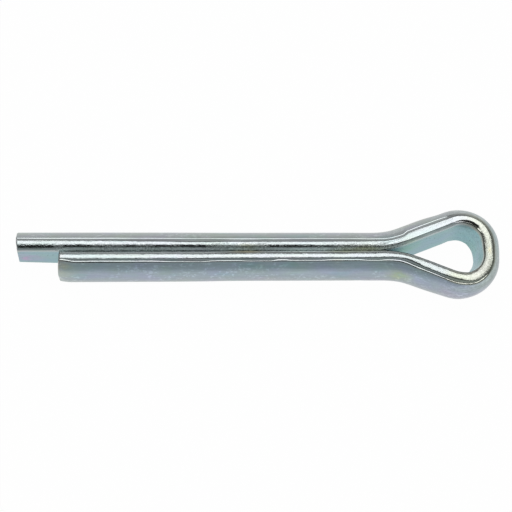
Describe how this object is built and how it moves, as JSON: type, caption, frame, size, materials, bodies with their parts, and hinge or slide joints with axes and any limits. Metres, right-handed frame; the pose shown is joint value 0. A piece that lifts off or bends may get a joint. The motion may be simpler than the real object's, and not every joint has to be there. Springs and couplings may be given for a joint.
{
  "type": "cotter pin",
  "caption": "Split pin folded from half-round wire: a drop-shaped eye and two closed legs of unequal length, bright zinc finish.",
  "frame": {"origin": "on the axis of the closed shank, where the flare under the eye comes to sit on the rim of its hole", "axes": "+X along the shank towards the eye, +Y across the plane of the eye towards the long leg, +Z across the wire: the pin lies flat on the land at its lowest Z"},
  "size_m": [0.0451, 0.009, 0.0038],
  "materials": {
    "zinc_plated_steel": "low-carbon steel wire with bright clear-passivated zinc, faintly blue with traces of yellow and lilac"
  },
  "bodies": {
    "root": {"cotter_pin": "zinc_plated_steel"}
  },
  "joints": []
}
